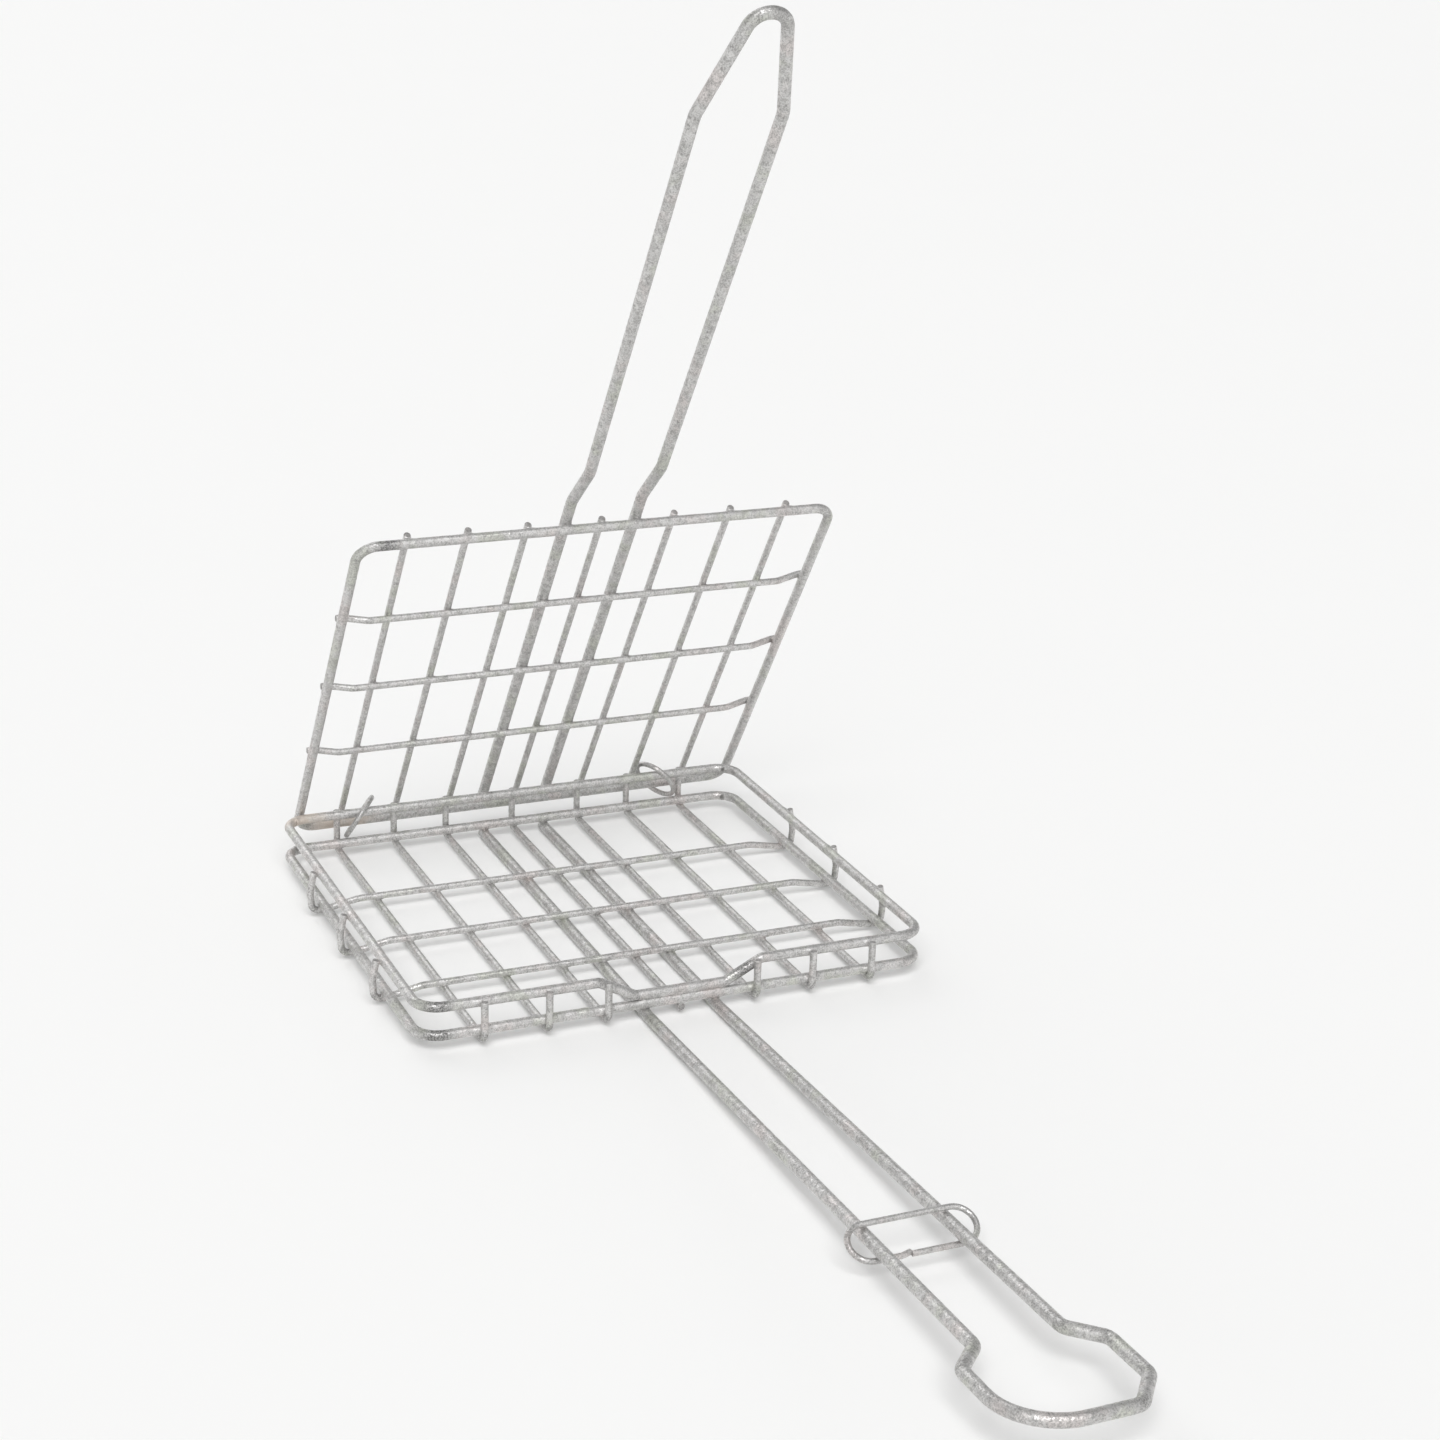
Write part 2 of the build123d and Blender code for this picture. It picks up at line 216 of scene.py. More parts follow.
FIELDS = ("heat", "bent", "rubbed", "cut", "tan", "dark")
HEAT_SPREAD = 2.2  # in weld reaches
HEAT_BEHIND = 0.25  # share of a weld's heat on the far side of the wire
BEND_SHOWN = 0.004  # a bend of this radius shows in full
DRAWN_STRETCH = 0.04  # how much the draw lines are stretched along the wire
DRAWN_SIZE = 0.00022  # distance between draw lines
RUB_REACH, LOCK_RUB_REACH = 0.005, 0.006
# Reach of the painted dark reflections at the front left corners, and of the painted shade and the heat tint
# on the dip's slopes.
CORNER_REFLECTION_REACH, DIP_PATCH = 0.005, 0.006
RIM_TAN, LID_TAN = 0.013, 0.016
LID_TAN_PLACE, LID_DARK_REFLECTION_PLACE = 0.022, 0.013  # from the lid's left side; the second places the painted dark reflection at the lid's front left corner
CORNER_MIDDLE = 0.7  # share of a corner's radius from the side to the bend's middle

# The stage

FLOOR_REACH = 30.0
WALL_TOP, WALL_FULL = 0.33, 0.27  # heights on the unit sky at which the pale surroundings fade
LAMP_WIDTH = 45  # degrees
LAMPS = {"main": (0.32, 0.78, -1), "rear": (0.15, -1, -0.75)}  # which way each light shines


def sizes(name):
    return getattr(bpy.context.scene, "grill_" + name)


# Bent wires as numbers

def unit(vectors):
    return vectors / np.linalg.norm(vectors, axis=-1, keepdims=True)


def centreline(corners, radii):
    """Middle line of a bent wire: straight runs with a tangent arc at each corner.

    With unit directions a back and b ahead, and h half the angle between them, the arc's centre
    is corner + unit(a + b) r / sin h, and its points are centre + r (e cos t + f sin t), where e
    points to the arc's start, f is across e towards its end, and t runs from 0 to pi - 2 h."""
    corners = np.array(corners, float)
    radii = np.broadcast_to(radii, len(corners) - 2)
    runs = [corners[:1]]
    for before, corner, after, radius in zip(corners, corners[1:], corners[2:], radii):
        back, ahead = unit(before - corner), unit(after - corner)
        half = math.acos(np.clip(back @ ahead, -1, 1)) / 2
        centre = corner + unit(back + ahead) * radius / math.sin(half)
        start = unit(corner + back * radius / math.tan(half) - centre)
        end = unit(corner + ahead * radius / math.tan(half) - centre)
        across = unit(end - (end @ start) * start)
        t = np.linspace(0, math.pi - 2 * half, ARC_COUNT)[:, None]
        runs.append(centre + radius * (start * np.cos(t) + across * np.sin(t)))
    return np.vstack(runs + [corners[-1:]])


def along(line):
    """Distance along a line at each of its points: the running sum of its steps."""
    return np.concatenate([[0], np.cumsum(np.linalg.norm(np.diff(line, axis=0), axis=1))])


def at(line, places):
    """Points of a line at the given distances along it."""
    run = along(line)
    return np.stack([np.interp(places, run, line[:, k]) for k in range(3)], axis=1)


def stations(line, welds, reach):
    """Distances along a line, close together in bends and near the welds."""
    run = along(line)
    stops = [np.arange(0, run[-1], PLAIN_STEP), [run[-1]], run[1:-1:2]]
    for point, _ in welds:
        middle = run[np.argmin(np.linalg.norm(line - point, axis=1))]
        low = max(middle - PLAIN_STEP * SEARCH_STEPS, 0)
        high = min(middle + PLAIN_STEP * SEARCH_STEPS, run[-1])
        fine = at(line, np.linspace(low, high, SEARCH_COUNT))
        nearest = np.argmin(np.linalg.norm(fine - point, axis=1))
        middle = low + nearest / (SEARCH_COUNT - 1) * (high - low)
        stops.append(middle + np.linspace(-WELD_SPAN, WELD_SPAN, WELD_COUNT) * reach)
    stops = np.unique(np.concatenate(stops))
    stops = stops[(stops >= 0) & (stops <= run[-1])]
    keep = np.concatenate([[True], np.diff(stops) > reach * LEAST_STEP])
    keep[-1] = True
    return stops[keep]


def bend_of(points):
    """How sharply a line turns at each point: the angle between its steps over their length."""
    steps = unit(np.diff(points, axis=0))
    turn = np.zeros(len(points))
    turn[1:-1] = np.arccos(np.clip((steps[1:] * steps[:-1]).sum(1), -1, 1))
    span = np.gradient(along(points))
    bent = turn / np.maximum(span, 1e-6)
    kernel = np.hanning(7)[1:-1]
    return np.convolve(bent, kernel / kernel.sum(), mode="same")


def off(points, point):
    """Distance of each point of a line from one point, as a column."""
    return np.linalg.norm(points - point, axis=1)[:, None]


def wire_fields(points, out, welds, rubs, stains_and_painted_shade):
    """How far a wire's surface rises at its welds, and the fields that its plating reads.

    With d the distance along and f = max(0, cos to the other wire), a weld rises by
    rise exp(-(d / reach)^2) f^2 and its heat is exp(-(d / spread)^2), less on the far side.
    A rub is exp(-(d / reach)^2) f, and a stain, which also carries painted shade and painted dark
    reflections, is exp(-(d / reach)^4) all round the wire."""
    wire = sizes("wire")
    rise = np.zeros(out.shape[:2])
    fields = {key: np.zeros_like(rise) for key in FIELDS}
    fields["bent"] += np.clip(bend_of(points) * BEND_SHOWN, 0, 1)[:, None]
    for point, towards in welds:
        distance, facing = off(points, point), np.clip(out @ towards, 0, 1)
        rise = np.maximum(rise, wire.weld_rise * np.exp(-(distance / wire.weld_reach) ** 2) * facing ** 2)
        burnt = np.exp(-(distance / (HEAT_SPREAD * wire.weld_reach)) ** 2)
        burnt = burnt * (HEAT_BEHIND + (1 - HEAT_BEHIND) * facing)
        fields["heat"] = np.maximum(fields["heat"], burnt)
    for point, towards, reach in rubs:
        wear_and_painted_reflection = np.exp(-(off(points, point) / reach) ** 2) * np.clip(out @ towards, 0, 1)
        fields["rubbed"] = np.maximum(fields["rubbed"], wear_and_painted_reflection)
    for key, point, reach in stains_and_painted_shade:
        fields[key] = np.maximum(fields[key], np.exp(-(off(points, point) / reach) ** 4))
    return rise, fields


def wire_mesh(name, line, radius, normal, welds=(), closed=False, rubs=(), stains_and_painted_shade=()):
    """Surface of a wire: a circle carried along its middle line.

    With t the line's direction and n a fixed direction across it, s = unit(t x n) and u = s x t.
    A point is p + r (s cos a + u sin a), where r is the radius plus the rise at a weld.
    A cut end has three narrower rings and a middle point, and leans like a sheared face."""
    stops = stations(line, welds, sizes("wire").weld_reach)
    points = at(line, stops)
    if closed:
        points, stops = points[:-1], stops[:-1]
        direction = unit(np.roll(points, -1, axis=0) - np.roll(points, 1, axis=0))
    else:
        direction = unit(np.gradient(points, axis=0))
    side = unit(np.cross(direction, normal))
    up = np.cross(side, direction)
    a = np.linspace(0, 2 * np.pi, sizes("wire").sides, endpoint=False)
    out = side[:, None] * np.cos(a)[None, :, None] + up[:, None] * np.sin(a)[None, :, None]
    rise, fields = wire_fields(points, out, welds, rubs, stains_and_painted_shade)
    verts = points[:, None] + out * (radius + rise)[..., None]
    from_middle = np.abs(stops - stops[-1] / 2)[:, None] * DRAWN_STRETCH
    drawn = np.stack(np.broadcast_arrays(np.cos(a) * radius, np.sin(a) * radius, from_middle), axis=-1)
    if not closed:
        first, last = [], []
        for width, push in CUT_RINGS:
            lean = push * radius * (1 + CUT_LEAN * np.sin(a + CUT_TURN))[:, None]
            first.append(points[0] + out[0] * radius * width - direction[0] * lean)
            last.append(points[-1] + out[-1] * radius * width + direction[-1] * lean)
        verts = np.concatenate([np.array(first[::-1]), verts, np.array(last)])
        rings = (len(CUT_RINGS), len(CUT_RINGS))
        fields = {key: np.pad(field, (rings, (0, 0)), mode="edge") for key, field in fields.items()}
        fields["cut"][[0, 1, -1, -2]] = 1
        drawn = np.pad(drawn, (rings, (0, 0), (0, 0)), mode="edge")
    index = np.arange(verts.shape[0] * len(a)).reshape(-1, len(a))
    here = index if closed else index[:-1]
    after = np.roll(index, -1, axis=0) if closed else index[1:]
    quads = np.stack([here, after, np.roll(after, -1, axis=1), np.roll(here, -1, axis=1)], axis=-1)
    faces = quads.reshape(-1, 4).tolist()
    verts, drawn = verts.reshape(-1, 3), drawn.reshape(-1, 3)
    fields = {key: value.reshape(-1) for key, value in fields.items()}
    if not closed:
        middles = np.stack([points[0] - direction[0] * radius * CUT_MIDDLE,
                            points[-1] + direction[-1] * radius * CUT_MIDDLE])
        start, end = len(verts), len(verts) + 1
        verts = np.vstack([verts, middles])
        faces += [[start, p, q] for p, q in zip(index[0], np.roll(index[0], -1))]
        faces += [[end, q, p] for p, q in zip(index[-1], np.roll(index[-1], -1))]
        for key in fields:
            fields[key] = np.append(fields[key], [1.0, 1.0] if key == "cut" else [0.0, 0.0])
        drawn = np.vstack([drawn, drawn[:1], drawn[-1:]])
    mesh = bpy.data.meshes.new(name)
    mesh.from_pydata(verts.tolist(), [], [[int(v) for v in face] for face in faces])
    for key, value in fields.items():
        mesh.attributes.new(key, "FLOAT", "POINT").data.foreach_set("value", value.astype(np.float32))
    mesh.attributes.new("drawn", "FLOAT_VECTOR", "POINT").data.foreach_set(
        "vector", drawn.astype(np.float32).ravel())
    mesh.polygons.foreach_set("use_smooth", np.ones(len(mesh.polygons), bool))
    mesh.update()
    return mesh


# Heights and places that follow from the sizes

def beside(diameter):
    """From a thick wire's middle to that of a wire welded onto it."""
    wire = sizes("wire")
    return (wire.thick + diameter) / 2 - wire.sink


def places():
    """The heights and edges that several pieces share."""
    wire, basket, lid = sizes("wire"), sizes("basket"), sizes("lid")
    z = beside(wire.handle) + wire.handle / 2
    return {"frame": z, "rear_rim": z + basket.rear_rise, "front_rim": z + basket.front_rise,
            "front": -basket.depth / 2, "rear": basket.depth / 2, "side": basket.width / 2,
            "lid_side": basket.width / 2 - lid.side_room}


def rim_height(y):
    """The rim falls in a straight line from the rear to the front."""
    at_ = places()
    fall = at_["rear_rim"] - at_["front_rim"]
    return at_["rear_rim"] - fall * (at_["rear"] - y) / (at_["rear"] - at_["front"])


def lid_axis():
    """Middle of the lid's rear wire: the span from the rim's wire, split into across the lid's
    face and along it, then turned by the lid's lean."""
    wire, lid, rings, at_ = sizes("wire"), sizes("lid"), sizes("rings"), places()
    span = rings.size - wire.ring - wire.thick - 2 * rings.looseness
    face = wire.thick + rings.gap
    run = math.sqrt(span ** 2 - face ** 2)
    back = face * math.sin(lid.lean) + run * math.cos(lid.lean)
    up = face * math.cos(lid.lean) - run * math.sin(lid.lean)
    return np.array([lid.shift, at_["rear"] + back, at_["rear_rim"] + up]), span


def on_lid(points):
    """From the lid's own plane to the row frame: -y runs from its rear wire to its front."""
    lean = sizes("lid").lean
    turn = np.array([[1, 0, 0], [0, math.cos(lean), -math.sin(lean)], [0, math.sin(lean), math.cos(lean)]])
    return np.array(points, float) @ turn + lid_axis()[0]


def flipped(points):
    """The points on the other side, in the order that carries the wire on."""
    return [(-x, y, z) for x, y, z in reversed(points)]


def rectangle(half, front, rear, z):
    """Corners of a frame, from the middle of its rear wire round to the same point."""
    corners = [(half, rear, z), (half, front, z), (-half, front, z), (-half, rear, z)]
    return [(0, rear, z)] + corners + [(0, rear, z)]


def basket_wires():
    """Every wire of the basket by name: (middle line, diameter, direction across, closed, slot)."""
    wire, basket, at_ = sizes("wire"), sizes("basket"), places()
    front, rear, side, z = at_["front"], at_["rear"], at_["side"], at_["frame"]
    low, up = z - beside(wire.thin), np.array((0, 0, 1.0))
    made = {"basket_bottom_frame": (centreline(rectangle(side, front, rear, z), basket.corner),
                                    wire.thick, up, True, "frame_wire")}
    dip, rim_front, rim_rear = z + wire.thick - wire.dip_sink, at_["front_rim"], at_["rear_rim"]
    points = [(0, rear, rim_rear), (side, rear, rim_rear), (side, front, rim_front),
              (basket.dip_top / 2, front, rim_front), (basket.dip_flat / 2, front, dip),
              (-basket.dip_flat / 2, front, dip), (-basket.dip_top / 2, front, rim_front),
              (-side, front, rim_front), (-side, rear, rim_rear), (0, rear, rim_rear)]
    turns = [basket.corner] * 2 + [basket.dip_turn] * 4 + [basket.corner] * 2
    made["basket_rim"] = (centreline(points, turns), wire.thick, up, True, "frame_wire")
    out = beside(wire.thin)
    for number, x in enumerate(BASKET_WIRES, 1):
        end = [(x, rear + out, low), (x, rear + out, rim_rear + basket.tip)]
        start = [(x, front - out, rim_front + basket.tip), (x, front - out, low)]
        if abs(x) < basket.dip_flat / 2:
            start = [(x, front - wire.past, low)]
        made[f"basket_long_wire_{number}"] = (centreline(start + end, basket.wire_turn), wire.thin,
                                              np.array((1.0, 0, 0)), False, "grid_wire")
    for number in range(1, CROSS_COUNT + 1):
        y = front + basket.cross_first + basket.cross_pitch * (number - 1)
        rim = rim_height(y)
        half = [(side + out, y, rim + basket.tip), (side + out + basket.bulge, y, (rim + low) / 2),
                (side + out + BOW_AT_FOOT * basket.bulge, y, low), (side - LEVEL_INSIDE_SIDE, y, low),
                (max(BASKET_WIRES) + SLOPE_FROM_LONG_WIRE, y, low + wire.thin - wire.sink)]
        points = half + flipped(half)
        turns = [basket.bow, basket.wire_turn] + [basket.ease] * 4 + [basket.wire_turn, basket.bow]
        made[f"basket_cross_wire_{number}"] = (centreline(points, turns), wire.thin,
                                               np.array((0, 1.0, 0)), False, "grid_wire")
    return made


def handle_point(across, out):
    """A point out from the bend of the basket handle, along its slope."""
    handle, wire, at_ = sizes("handle"), sizes("wire"), places()
    return (across, at_["front"] - handle.bend_out - out * math.cos(handle.rise),
            at_["frame"] - beside(wire.handle) + out * math.sin(handle.rise))


def basket_handle_wire():
    """Two runs under the grid that carry on as the handle and close in the hand-bent grip."""
    wire, basket, handle, at_ = sizes("wire"), sizes("basket"), sizes("handle"), places()
    rear = (handle.rear_width / 2, at_["rear"] + wire.past, at_["frame"] - beside(wire.handle))
    neck_out = handle.reach - handle.bend_out
    run = basket.depth + wire.past + handle.bend_out
    widening = (handle.neck - handle.rear_width) / (run + neck_out)
    bend = handle_point((handle.rear_width + widening * run) / 2, 0)
    width, long = handle.grip_width / 2, handle.grip_length
    right = [(handle.neck / 2, 0), (width, handle.shoulder), (width, long - handle.cut_along),
             (width - handle.cut_across, long)]
    left = [(-width, long), (-width, handle.shoulder), (-handle.neck / 2, 0)]
    grip = [handle_point(x, neck_out + out) for x, out in right + left]
    sharp = handle.grip_turn
    turns = [handle.turn] + [sharp] * 4 + [handle.grip_round] + [sharp] * 2 + [handle.turn]
    line = centreline([rear, bend] + grip + flipped([rear, bend]), turns)
    return {"basket_handle": (line, wire.handle, np.array((0, 0, 1.0)), False, "handle_wire")}


def lid_wires():
    """Every wire of the lid but its handle, laid out in the lid's own plane."""
    wire, lid, basket, side = sizes("wire"), sizes("lid"), sizes("basket"), places()["lid_side"]
    across = on_lid([(0, 0, 1)])[0] - on_lid([(0, 0, 0)])[0]
    sideways = on_lid([(0, 1, 0)])[0] - on_lid([(0, 0, 0)])[0]
    height = beside(wire.thin)
    made = {"lid_frame": (centreline(on_lid(rectangle(side, -lid.depth, 0, 0)), lid.corner), wire.thick,
                          across, True, "frame_wire")}
    for number, x in enumerate(LID_WIRES, 1):
        ends = [(x, wire.past, height), (x, -lid.depth - wire.past, height)]
        made[f"lid_long_wire_{number}"] = (on_lid(ends), wire.thin, across, False, "grid_wire")
    for number in range(1, CROSS_COUNT + 1):
        y = -lid.depth + lid.cross_first + lid.cross_pitch * (number - 1)
        half = [(side + wire.past, y, height), (side - LEVEL_INSIDE_SIDE, y, height),
                (max(LID_WIRES) + SLOPE_FROM_LONG_WIRE, y, height - wire.thin + wire.sink)]
        made[f"lid_cross_wire_{number}"] = (centreline(on_lid(half + flipped(half)), basket.ease), wire.thin,
                                            sideways, False, "grid_wire")
    return made


def lid_handle_wire():
    """Two runs on the outer side of the lid, cranked past the basket, with a tapered tip."""
    wire, lid = sizes("wire"), sizes("lid")
    straight = -lid.depth - lid.straight
    taper = -lid.depth - lid.handle_length
    up = beside(wire.handle)
    right = [(lid.handle_width / 2, wire.past, up), (lid.handle_width / 2, straight, up),
             (lid.handle_width / 2, straight - lid.crank, -lid.drop), (lid.spread / 2, taper, -lid.tip_drop),
             (lid.tip_width / 2, taper - lid.tip_length, -lid.tip_drop)]
    lean = math.atan2(lid.spread / 2 - lid.tip_width / 2, lid.tip_length)
    tip = LOOP_END_SHARE * lid.tip_width / 2 / math.tan((math.pi / 2 - lean) / 2)
    turns = [lid.handle_turn] * 3 + [tip] * 2 + [lid.handle_turn] * 3
    across = on_lid([(0, 0, 1)])[0] - on_lid([(0, 0, 0)])[0]
    return {"lid_handle": (centreline(on_lid(right + flipped(right)), turns), wire.handle, across, False,
                           "handle_wire")}


def hinge_ring(side):
    """A ring round the rim's rear wire and the lid's rear wire, turned about the line between
    them: its points are centre + r (v cos t + w sin t), with v that line and w across it."""
    wire, rings, at_ = sizes("wire"), sizes("rings"), places()
    rim = np.array((0, at_["rear"], at_["rear_rim"]))
    axis, span = lid_axis()
    line = unit((axis - rim) * (0, 1, 1))
    lower = np.array((0, line[2], -line[1]))
    across = lower * math.cos(rings.twist) + np.array((side, 0, 0)) * math.sin(rings.twist)
    centre = rim + line * span / 2 + np.array((side * rings.place, 0, 0))
    gap = rings.cut / rings.size
    t = np.linspace(math.pi / 2 + gap, 2.5 * math.pi - gap, 73)[:, None]
    normal = unit(np.cross(line, across))
    third = np.cross(normal, line)
    points = centre + rings.size / 2 * (line * np.cos(t) + third * np.sin(t))
    return points, wire.ring, normal, False, "hinge_wire"


def lock_ring_wire():
    """Oblong ring with round ends that leans over the two runs of the handle."""
    wire, handle, rings = sizes("wire"), sizes("handle"), sizes("rings")
    lean = math.asin((wire.handle + wire.lock + 2 * rings.lock_gap) / rings.lock_height)
    inward = np.array((0, math.cos(handle.rise), -math.sin(handle.rise)))
    upward = np.array((0, math.sin(handle.rise), math.cos(handle.rise)))
    across = inward * math.cos(lean) + upward * math.sin(lean)
    centre = np.array(handle_point(0, rings.lock_place - handle.bend_out))
    end, half = rings.lock_length / 2, rings.lock_height / 2
    last = rings.lock_cut_place - rings.lock_cut / 2
    flat = [(last + rings.lock_cut, -half), (end, -half), (end, half), (-end, half), (-end, -half),
            (last - rings.lock_jog, -half), (last, rings.lock_step - half)]
    points = [centre + np.array((x, 0, 0)) + across * y for x, y in flat]
    turns = [LOOP_END_SHARE * half] * 4 + [rings.lock_jog]
    return (centreline(points, turns), wire.lock, unit(np.cross((1, 0, 0), across)), False, "lock_wire")


def weld_points(wires):
    """Where two wires of one body touch: the local least distances between their middle lines
    that are under the sum of their radii. Each gives a point and a direction for both wires.
    Wires that touch along a stretch get a row of such points."""
    found = {name: [] for name in wires}
    names = list(wires)
    dense = {}
    for name in names:
        run = along(wires[name][0])
        dense[name] = at(wires[name][0], np.linspace(0, run[-1], int(run[-1] / TOUCH_STEP) + 2))
    for number, first in enumerate(names):
        for second in names[number + 1:]:
            a, b = dense[first], dense[second]
            touch = (wires[first][1] + wires[second][1]) / 2 + TOUCH_ROOM
            squares = (a ** 2).sum(1)[:, None] + (b ** 2).sum(1) - 2 * a @ b.T
            nearest = squares.argmin(axis=1)
            gap = np.sqrt(np.maximum(squares.min(axis=1), 0))
            close = np.flatnonzero(gap < touch)
            if not len(close):
                continue
            for group in np.split(close, np.flatnonzero(np.diff(close) > 1) + 1):
                row = group[SEAM_END:-SEAM_END:SEAM_EVERY]
                seam = row if len(group) > SEAM_COUNT else [group[gap[group].argmin()]]
                for best in seam:
                    p, q = a[best], b[nearest[best]]
                    found[first].append((p, unit(q - p)))
                    found[second].append((q, unit(p - q)))
    return found


# Materials

class Socket:
    """An output socket on which Python's arithmetic adds Math nodes."""

    def __init__(self, nodes, link):
        self.nodes, self.link = nodes, link

    def math(self, operation, a, b):
        return self.nodes.add("ShaderNodeMath", {"operation": operation}, {0: a, 1: b})

    def __add__(self, other):
        return self.math("ADD", self, other)

    __radd__ = __add__

    def __sub__(self, other):
        return self.math("SUBTRACT", self, other)

    def __rsub__(self, other):
        return self.math("SUBTRACT", other, self)

    def __mul__(self, other):
        return self.math("MULTIPLY", self, other)

    __rmul__ = __mul__

    def between(self, low, high):
        """0 below low, 1 above high, smooth between."""
        return self.nodes.add("ShaderNodeMapRange", {"interpolation_type": "SMOOTHSTEP"},
                              {0: self, 1: low, 2: high})


class Nodes:
    """The node tree of one material, or of the world."""

    def __init__(self, owner, shader="Principled BSDF"):
        owner.use_nodes = True
        self.owner, self.tree = owner, owner.node_tree
        self.shader = self.tree.nodes[shader]

    def add(self, kind, settings=None, values=None, output=0):
        node = self.tree.nodes.new(kind)
        for key, value in (settings or {}).items():
            setattr(node, key, value)
        for key, value in (values or {}).items():
            self.plug(node, key, value)
        return Socket(self, node.outputs[output])

    def plug(self, node, key, value):
        if isinstance(value, Socket):
            self.tree.links.new(value.link, node.inputs[key])
        else:
            node.inputs[key].default_value = value

    def mix(self, factor, a, b):
        """Colour a where factor is 0 and b where it is 1."""
        solid = [(*c, 1) if not isinstance(c, Socket) else c for c in (a, b)]
        return self.add("ShaderNodeMix", {"data_type": "RGBA"}, {0: factor, 6: solid[0], 7: solid[1]}, 2)

    def field(self, name):
        return self.add("ShaderNodeAttribute", {"attribute_name": name}, output=2)

    def noise(self, size, detail=3, where=None, roughness=0.55):
        """Even noise whose patches are about size across."""
        where = where or self.add("ShaderNodeTexCoord", output=3)
        return self.add("ShaderNodeTexNoise", {}, {"Vector": where, "Scale": 1 / size, "Detail": detail,
                                                   "Roughness": roughness})

    def finish(self, **values):
        for key, value in values.items():
            self.plug(self.shader, key.replace("_", " "), value)
        return self.owner


def zinc_wire(name, tone, grain, wear):
    """Bright zinc plating on drawn steel: patches, grain, faint draw lines, burnt welds, duller bends, bare
    cut ends, rubbed places, tan patches, and painted shade and painted dark reflections in the base colour."""
    finish = sizes("finish")
    n = Nodes(bpy.data.materials.new(name))
    patches = n.noise(finish.mottle * 1.6, 3).between(0.40, 0.62)
    grain_ = n.noise(finish.speck, 2, roughness=0.7).between(0.42, 0.60)
    lines = n.noise(DRAWN_SIZE, 2, n.add("ShaderNodeAttribute", {"attribute_name": "drawn"}, output=1))
    crystals = n.add("ShaderNodeTexVoronoi", {"feature": "F1"}, {
        "Vector": n.add("ShaderNodeTexCoord", output=3), "Scale": 1 / (finish.mottle * 0.7)}, 1)
    facet = n.add("ShaderNodeSeparateColor", {}, {0: crystals})
    bright = [min(c * tone, 1) for c in finish.zinc]
    dull = [c * tone for c in finish.dull]
    shade = 0.30 * patches + 0.60 * grain_ * (0.45 + 0.55 * facet)
    cast = n.noise(finish.mottle * 9, 3)
    bright = n.mix(cast.between(0.52, 0.68), bright, finish.rosy)
    bright = n.mix(cast.between(0.48, 0.34), bright, finish.mossy)
    base = n.mix(shade * grain, bright, dull)
    smudge = n.noise(finish.mottle * 6, 4)
    heat = n.field("heat") * smudge.between(0.30, 0.62)
    base = n.mix(heat * 0.75, base, finish.heat)
    bent = n.field("bent") * (0.35 + 0.65 * grain_)
    base = n.mix(bent * 0.55, base, [c * 0.7 for c in finish.dull])
    rubbed = n.field("rubbed") * wear
    base = n.mix(rubbed, base, [min(c * 1.18, 1) for c in finish.zinc])
    tan = n.field("tan") * smudge.between(0.22, 0.52)
    base = n.mix(tan * 0.85, base, finish.tan)
    # Painted shade and painted dark reflections: the base colour is mixed toward the dark colour where this
    # field is set.
    dark = n.field("dark") * (0.45 + 0.55 * grain_)
    base = n.mix(dark * 0.85, base, finish.dark)
    cut = n.field("cut")
    base = n.mix(cut * 0.5, base, finish.steel)
    rough = finish.shine + 0.16 * shade + 0.12 * grain_ + 0.18 * heat
    rough = rough + 0.10 * bent + 0.22 * cut - 0.10 * rubbed
    height = 0.5 * grain_ + 0.3 * lines + 0.4 * patches + 0.5 * heat * grain_
    bump = n.add("ShaderNodeBump", {}, {"Strength": 0.6, "Distance": 0.00018, "Height": height})
    return n.finish(Base_Color=base, Roughness=rough, Metallic=0.95 - 0.25 * heat - 0.5 * tan, Normal=bump)


FINISHES = {"frame_wire": (1.0, 0.85, 0.3), "grid_wire": (1.02, 0.9, 0.2), "handle_wire": (0.98, 0.95, 0.4),
            "hinge_wire": (0.95, 0.8, 0.8), "lock_wire": (0.97, 0.8, 0.7)}


def finish_of(slot):
    """The plating of one slot, made once; the frame's own materials have the slots' plain names."""
    name = "zinc_" + slot
    if name not in bpy.data.materials:
        zinc_wire(name, *FINISHES[slot])
    return bpy.data.materials[name]


def place_wire(name, body, line, diameter, normal, closed, slot, welds=(), rubs=(), stains_and_painted_shade=()):
    """Makes one wire, which rides on its body and stands for its node, or for the stretches of it
    that the frame has as nodes of their own."""
    mesh = wire_mesh(name + "_wire", line, diameter / 2, normal, welds, closed, rubs, stains_and_painted_shade)
    mesh.materials.append(finish_of(slot))
    piece = bpy.data.objects.new(name + "_wire", mesh)
    bpy.context.collection.objects.link(piece)
    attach(piece, body)
    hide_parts(*[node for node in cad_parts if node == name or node.startswith(name + "_")])


def body_wires(body):
    """All wires of the basket or of the lid, so that welds between any two are found."""
    if body == "basket":
        return basket_wires() | basket_handle_wire()
    return lid_wires() | lid_handle_wire()


def place_wires(body, wanted, rubs=None, stains_and_painted_shade=None):
    wires = body_wires(body)
    welds = weld_points(wires)
    for name in wires:
        if any(name.startswith(start) for start in wanted):
            line, diameter, normal, closed, slot = wires[name]
            place_wire(name, body, line, diameter, normal, closed, slot, welds[name],
                       (rubs or {}).get(name, ()), (stains_and_painted_shade or {}).get(name, ()))


def hinge_rubs(wire_y, wire_z, towards):
    """Where the two rings rub a rear wire."""
    place = sizes("rings").place
    return [(np.array((side * place, wire_y, wire_z)), towards, RUB_REACH) for side in (-1, 1)]


# One operator for each group of pieces

